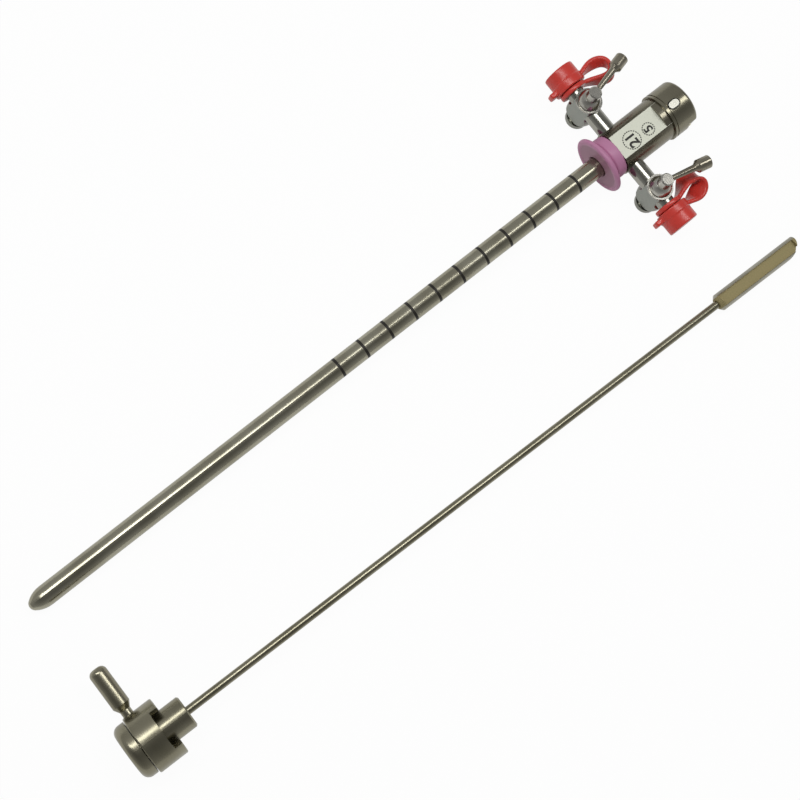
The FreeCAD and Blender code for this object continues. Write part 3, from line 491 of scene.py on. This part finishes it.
def make_number(text, x, y, size, material):
    """A number on the ground flat, read along +Y from the sheath's right side."""
    deselect()
    bpy.ops.object.text_add()
    number = bpy.context.object
    number.data.body = text
    number.data.align_x = "CENTER"
    number.data.align_y = "CENTER"
    number.data.extrude = FIGURE_THICKNESS
    number.data.offset = FIGURE_BOLDNESS
    bpy.ops.object.convert(target="MESH")
    number = bpy.context.object
    number.matrix_world = (Matrix.Translation((x * MM, y * MM, FLAT_Z * MM))
                           @ Matrix.Rotation(math.radians(90), 4, "Z") @ Matrix.Scale(size * MM, 4))
    settle(number, "number_" + text, material, smooth=False)
    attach(number, "sheath")


# a dash takes two of every three steps round its ring
DASH_WIDTH = 0.36
DASH_STEPS = 3
INK_THICKNESS = 0.012


def make_dashed_ring(text, x, y, radius, dashes, material):
    """The ring of short dashes around a number."""
    deselect()
    bpy.ops.mesh.primitive_circle_add(vertices=dashes * DASH_STEPS, radius=radius * MM,
                                      location=(x * MM, y * MM, (FLAT_Z + INK_THICKNESS) * MM))
    ring = bpy.context.object
    bpy.ops.object.mode_set(mode="EDIT")
    bpy.ops.mesh.select_all(action="SELECT")
    bpy.ops.mesh.extrude_edges_move()
    share = 1 - DASH_WIDTH / radius
    bpy.ops.transform.resize(value=(share, share, 1))
    bpy.ops.object.mode_set(mode="OBJECT")
    faces = sorted(ring.data.polygons, key=lambda face: math.atan2(face.center.y, face.center.x))
    edit_faces(ring, [face.index for face in faces[::DASH_STEPS]])
    bpy.ops.mesh.delete(type="FACE")
    bpy.ops.mesh.select_all(action="SELECT")
    bpy.ops.mesh.normals_make_consistent(inside=False)
    leave_edit()
    finish_with(ring, "SOLIDIFY", thickness=INK_THICKNESS * MM, offset=0)
    settle(ring, "number_ring_" + text, material, smooth=False)
    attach(ring, "sheath")


# The set

def make_floor():
    """A white sheet under the part, tilted as the part lies on its nuts and its tip."""
    deselect()
    bpy.ops.mesh.primitive_plane_add(size=4.0, location=(-0.13, -0.02, 0))
    floor = bpy.context.object
    floor.name = "floor"
    x_there, z_there = FLOOR_POINT
    for corner in floor.data.vertices:
        x = (corner.co.x + floor.location.x) / MM
        corner.co.z = (z_there - (x - x_there) * FLOOR_SLOPE - 0.02) * MM
    material, tree, shader = new_material("white_paper", "#f4f4f2", 0.0, 0.9)
    ray = add(tree, "ShaderNodeLightPath")
    spot = add(tree, "ShaderNodeTexCoord").outputs["Object"]
    grain = add(tree, "ShaderNodeTexNoise", {"Vector": spot, "Scale": 1000 / 2.5}).outputs["Fac"]
    shade = add(tree, "ShaderNodeMix", {0: grain, 6: colour("#f6f6f4"), 7: colour("#f0f0ee")},
                data_type="RGBA").outputs[2]
    tree.links.new(shade, shader.inputs["Base Color"])
    seen = add(tree, "ShaderNodeMath", {0: ray.outputs["Is Camera Ray"], 1: 0.96},
               operation="MULTIPLY").outputs[0]
    mirrored = add(tree, "ShaderNodeMath", {0: ray.outputs["Is Glossy Ray"], 1: 0.5},
                   operation="MULTIPLY").outputs[0]
    both = add(tree, "ShaderNodeMath", {0: seen, 1: mirrored}, operation="MAXIMUM").outputs[0]
    through = add(tree, "ShaderNodeMath", {0: both, 1: ray.outputs["Is Transmission Ray"]},
                  operation="MAXIMUM").outputs[0]
    glow = add(tree, "ShaderNodeEmission", {"Color": colour("#ffffff"), "Strength": 1.0})
    blend = add(tree, "ShaderNodeMixShader", {0: through, 1: shader.outputs[0], 2: glow.outputs[0]})
    tree.links.new(blend.outputs[0], tree.nodes["Material Output"].inputs["Surface"])
    floor.data.materials.append(material)


def make_world():
    """A grey room, dark overhead, brighter low down and on the lamp's side, and white to the camera."""
    world = bpy.data.worlds.new("studio")
    bpy.context.scene.world = world
    world.use_nodes = True
    tree = world.node_tree
    ray = add(tree, "ShaderNodeLightPath")
    way = add(tree, "ShaderNodeSeparateXYZ", {0: add(tree, "ShaderNodeTexCoord").outputs["Generated"]})
    low = add(tree, "ShaderNodeMapRange", {"Value": way.outputs["Z"], "From Min": 0.1, "From Max": 0.85,
                                           "To Min": 0.42, "To Max": 0.17}).outputs["Result"]
    lit_side = add(tree, "ShaderNodeMapRange", {"Value": way.outputs["Y"], "From Min": 0.1, "From Max": 0.5,
                                                "To Min": 0.17, "To Max": 0.46}).outputs["Result"]
    room = add(tree, "ShaderNodeMath", {0: low, 1: lit_side}, operation="MAXIMUM").outputs[0]
    level = add(tree, "ShaderNodeMix", {0: ray.outputs["Is Camera Ray"], 2: room, 3: 1.0}).outputs[0]
    background = tree.nodes["Background"]
    background.inputs["Color"].default_value = colour("#ffffff")
    tree.links.new(level, background.inputs["Strength"])


def make_lamp(name, place, target, along, width, length, power):
    """A soft box that points at a target, its long side along a given line."""
    lamp = bpy.data.lights.new(name, "AREA")
    lamp.shape = "RECTANGLE"
    lamp.size = length
    lamp.size_y = width
    lamp.energy = power
    holder = bpy.data.objects.new(name, lamp)
    bpy.context.scene.collection.objects.link(holder)
    back = (Vector(place) - Vector(target)).normalized()
    side = Vector(along) - back * back.dot(Vector(along))
    side.normalize()
    holder.matrix_world = (Matrix.Translation(place)
                           @ Matrix((side, back.cross(side), back)).transposed().to_4x4())


# the camera that was fitted to the photograph
FOCAL_PIXELS = 1544.45
PICTURE_PIXELS = 800


def make_camera():
    """The photograph's view: from above, over the tip half of the tube."""
    right = Vector((0.7731300, -0.6262174, 0.1006070))
    down = Vector((-0.6100367, -0.7776113, -0.1522361))
    ahead = Vector((0.1735660, 0.0563243, -0.9832103))
    camera = bpy.data.cameras.new("camera")
    camera.sensor_width = 36.0
    camera.lens = FOCAL_PIXELS * camera.sensor_width / PICTURE_PIXELS
    camera.clip_start = 0.01
    holder = bpy.data.objects.new("camera", camera)
    bpy.context.scene.collection.objects.link(holder)
    holder.matrix_world = (Matrix.Translation((-0.223931, -0.048108, 0.485524))
                           @ Matrix((right, -down, -ahead)).transposed().to_4x4())
    bpy.context.scene.camera = holder


make_camera()
make_floor()
make_world()
make_lamp("narrow_soft_box", (-0.02, 0.085, 0.60), (-0.1, 0, 0), (0.907, -0.42, 0), 0.12, 1.1, 2.6)
dress_metal()
red = moulded("moulded_red_silicone", "#d8453c", "#c63a32", 0.24, 0.8, 0.05, IOR=1.45)
# the darker mauve inside the guard's rim is painted shade
mauve = moulded("moulded_mauve_silicone", "#c487aa", "#b87c9f", 0.42, 0.6, 0.08,
                painted_shade=(painted_face_shade, "#a3748a"), IOR=1.43)
seal = moulded("black_seal_rubber", "#141414", "#1c1b1a", 0.6, 0.4, 0.1)
dress(seal, "seal_ring")
make_guard(mauve)
for side, sign in SIDES:
    make_cap(side, sign, red)
    make_strap_ring(side, sign, red)
    make_strap(side, sign, red)
marking = ink()
make_number("21", -24.3, -0.75, 5.0, marking)
make_dashed_ring("21", -24.45, -0.75, 3.3, 24, marking)
make_number("5", -17.5, -1.15, 4.3, marking)
make_dashed_ring("5", -17.6, -1.15, 2.3, 17, marking)

bpy.context.scene.view_settings.view_transform = "Standard"
